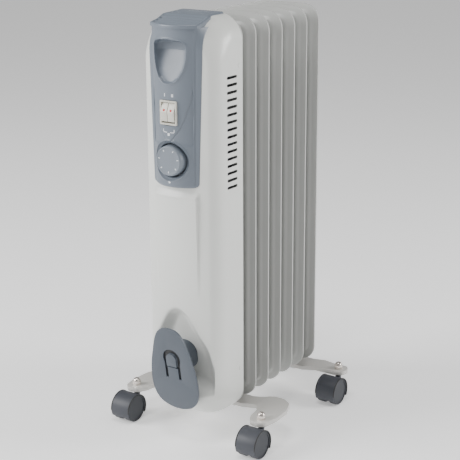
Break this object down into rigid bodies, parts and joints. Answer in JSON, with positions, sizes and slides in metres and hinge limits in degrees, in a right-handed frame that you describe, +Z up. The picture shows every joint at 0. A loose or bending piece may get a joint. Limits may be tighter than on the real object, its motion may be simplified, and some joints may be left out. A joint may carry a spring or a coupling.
{
  "type": "oil filled radiator heater",
  "caption": "Free-standing oil filled column heater: flat pressed fins on header tubes, a front casing with dial and rocker switches, a cord winder and swivel casters.",
  "frame": {"origin": "on the floor, under the centre of the heater's bounding box", "axes": "+Z up; -Y is the front with the control panel; the fins follow one another towards +Y; +X is to the right as one faces the panel"},
  "size_m": [0.266, 0.3221, 0.6362],
  "materials": {
    "fin_enamel": "satin ivory-white enamel",
    "casing_enamel": "satin ivory-white enamel",
    "panel_plastic": "satin blue-grey moulding",
    "dial_plastic": "fine-grained blue-grey moulding",
    "cord_winder_plastic": "satin slate-grey moulding",
    "switch_plastic": "ivory",
    "lens_plastic": "red translucent look",
    "black_plastic": "black",
    "zinc_steel": "bright zinc",
    "element_steel": "sheathed tube",
    "gasket_rubber": "matte",
    "shield_aluminium": "mill finish",
    "caster_hood_plastic": "dark grey moulding",
    "wheel_plastic": "dark grey moulding"
  },
  "bodies": {
    "heater": {"cable_gland": "black_plastic", "casing": "casing_enamel", "casing_screws": "zinc_steel", "caster_stems": "zinc_steel", "control_panel": "panel_plastic", "cord_hub": "cord_winder_plastic", "cord_plate": "cord_winder_plastic", "dome_nuts": "zinc_steel", "element_gasket": "gasket_rubber", "fin_1": "fin_enamel", "fin_2": "fin_enamel", "fin_3": "fin_enamel", "fin_4": "fin_enamel", "fin_5": "fin_enamel", "fin_6": "fin_enamel", "fin_7": "fin_enamel", "front_foot_bracket": "casing_enamel", "front_u_bolt": "zinc_steel", "header_end_caps": "fin_enamel", "heat_shield": "shield_aluminium", "heating_element": "element_steel", "hub_screws": "zinc_steel", "lower_header_collars": "fin_enamel", "oil_fill_plug": "zinc_steel", "panel_screws": "zinc_steel", "rear_foot_bracket": "casing_enamel", "rear_u_bolt": "zinc_steel", "rocker_pin": "zinc_steel", "shield_standoffs": "zinc_steel", "stem_washers": "zinc_steel", "switch_housing": "switch_plastic", "terminal_block": "black_plastic", "thermal_cutout": "black_plastic", "thermostat_body": "black_plastic", "top_handle": "panel_plastic", "upper_header_collars": "fin_enamel", "wing_nuts": "zinc_steel"},
    "dial": {"thermostat_dial": "dial_plastic", "thermostat_spindle": "zinc_steel"},
    "rocker_switch_left": {"rocker_left": "switch_plastic", "pilot_lens_left": "lens_plastic"},
    "rocker_switch_right": {"rocker_right": "switch_plastic", "pilot_lens_right": "lens_plastic"},
    "caster_front_left": {"caster_hood_front_left": "caster_hood_plastic", "caster_axle_front_left": "zinc_steel"},
    "front_left_left_wheel": {"wheel_front_left_left": "wheel_plastic"},
    "front_left_right_wheel": {"wheel_front_left_right": "wheel_plastic"},
    "caster_front_right": {"caster_hood_front_right": "caster_hood_plastic", "caster_axle_front_right": "zinc_steel"},
    "front_right_left_wheel": {"wheel_front_right_left": "wheel_plastic"},
    "front_right_right_wheel": {"wheel_front_right_right": "wheel_plastic"},
    "caster_rear_left": {"caster_hood_rear_left": "caster_hood_plastic", "caster_axle_rear_left": "zinc_steel"},
    "rear_left_left_wheel": {"wheel_rear_left_left": "wheel_plastic"},
    "rear_left_right_wheel": {"wheel_rear_left_right": "wheel_plastic"},
    "caster_rear_right": {"caster_hood_rear_right": "caster_hood_plastic", "caster_axle_rear_right": "zinc_steel"},
    "rear_right_left_wheel": {"wheel_rear_right_left": "wheel_plastic"},
    "rear_right_right_wheel": {"wheel_rear_right_right": "wheel_plastic"}
  },
  "joints": [
    {"name": "dial_turn", "type": "hinge", "parent": "heater", "child": "dial", "pos_m": [0, -0.145, 0.4356], "axis": [0, -1, 0], "range_deg": [-150, 150]},
    {"name": "rocker_left_tilt", "type": "hinge", "parent": "heater", "child": "rocker_switch_left", "pos_m": [-0.0058, -0.1435, 0.5036], "axis": [1, 0, 0], "range_deg": [0, 16]},
    {"name": "rocker_right_tilt", "type": "hinge", "parent": "heater", "child": "rocker_switch_right", "pos_m": [0.0058, -0.1435, 0.5036], "axis": [1, 0, 0], "range_deg": [0, 16]},
    {"name": "swivel_front_left", "type": "hinge", "parent": "heater", "child": "caster_front_left", "pos_m": [-0.1158, -0.091, 0.04], "axis": [0, 0, 1], "continuous": true},
    {"name": "roll_front_left_left", "type": "hinge", "parent": "caster_front_left", "child": "front_left_left_wheel", "pos_m": [-0.1263, -0.113, 0.021], "axis": [1, 0, 0], "continuous": true},
    {"name": "roll_front_left_right", "type": "hinge", "parent": "caster_front_left", "child": "front_left_right_wheel", "pos_m": [-0.1053, -0.113, 0.021], "axis": [1, 0, 0], "continuous": true},
    {"name": "swivel_front_right", "type": "hinge", "parent": "heater", "child": "caster_front_right", "pos_m": [0.1158, -0.091, 0.04], "axis": [0, 0, 1], "continuous": true},
    {"name": "roll_front_right_left", "type": "hinge", "parent": "caster_front_right", "child": "front_right_left_wheel", "pos_m": [0.1053, -0.113, 0.021], "axis": [1, 0, 0], "continuous": true},
    {"name": "roll_front_right_right", "type": "hinge", "parent": "caster_front_right", "child": "front_right_right_wheel", "pos_m": [0.1263, -0.113, 0.021], "axis": [1, 0, 0], "continuous": true},
    {"name": "swivel_rear_left", "type": "hinge", "parent": "heater", "child": "caster_rear_left", "pos_m": [-0.1158, 0.138, 0.04], "axis": [0, 0, 1], "continuous": true},
    {"name": "roll_rear_left_left", "type": "hinge", "parent": "caster_rear_left", "child": "rear_left_left_wheel", "pos_m": [-0.1263, 0.116, 0.021], "axis": [1, 0, 0], "continuous": true},
    {"name": "roll_rear_left_right", "type": "hinge", "parent": "caster_rear_left", "child": "rear_left_right_wheel", "pos_m": [-0.1053, 0.116, 0.021], "axis": [1, 0, 0], "continuous": true},
    {"name": "swivel_rear_right", "type": "hinge", "parent": "heater", "child": "caster_rear_right", "pos_m": [0.1158, 0.138, 0.04], "axis": [0, 0, 1], "continuous": true},
    {"name": "roll_rear_right_left", "type": "hinge", "parent": "caster_rear_right", "child": "rear_right_left_wheel", "pos_m": [0.1053, 0.116, 0.021], "axis": [1, 0, 0], "continuous": true},
    {"name": "roll_rear_right_right", "type": "hinge", "parent": "caster_rear_right", "child": "rear_right_right_wheel", "pos_m": [0.1263, 0.116, 0.021], "axis": [1, 0, 0], "continuous": true}
  ]
}
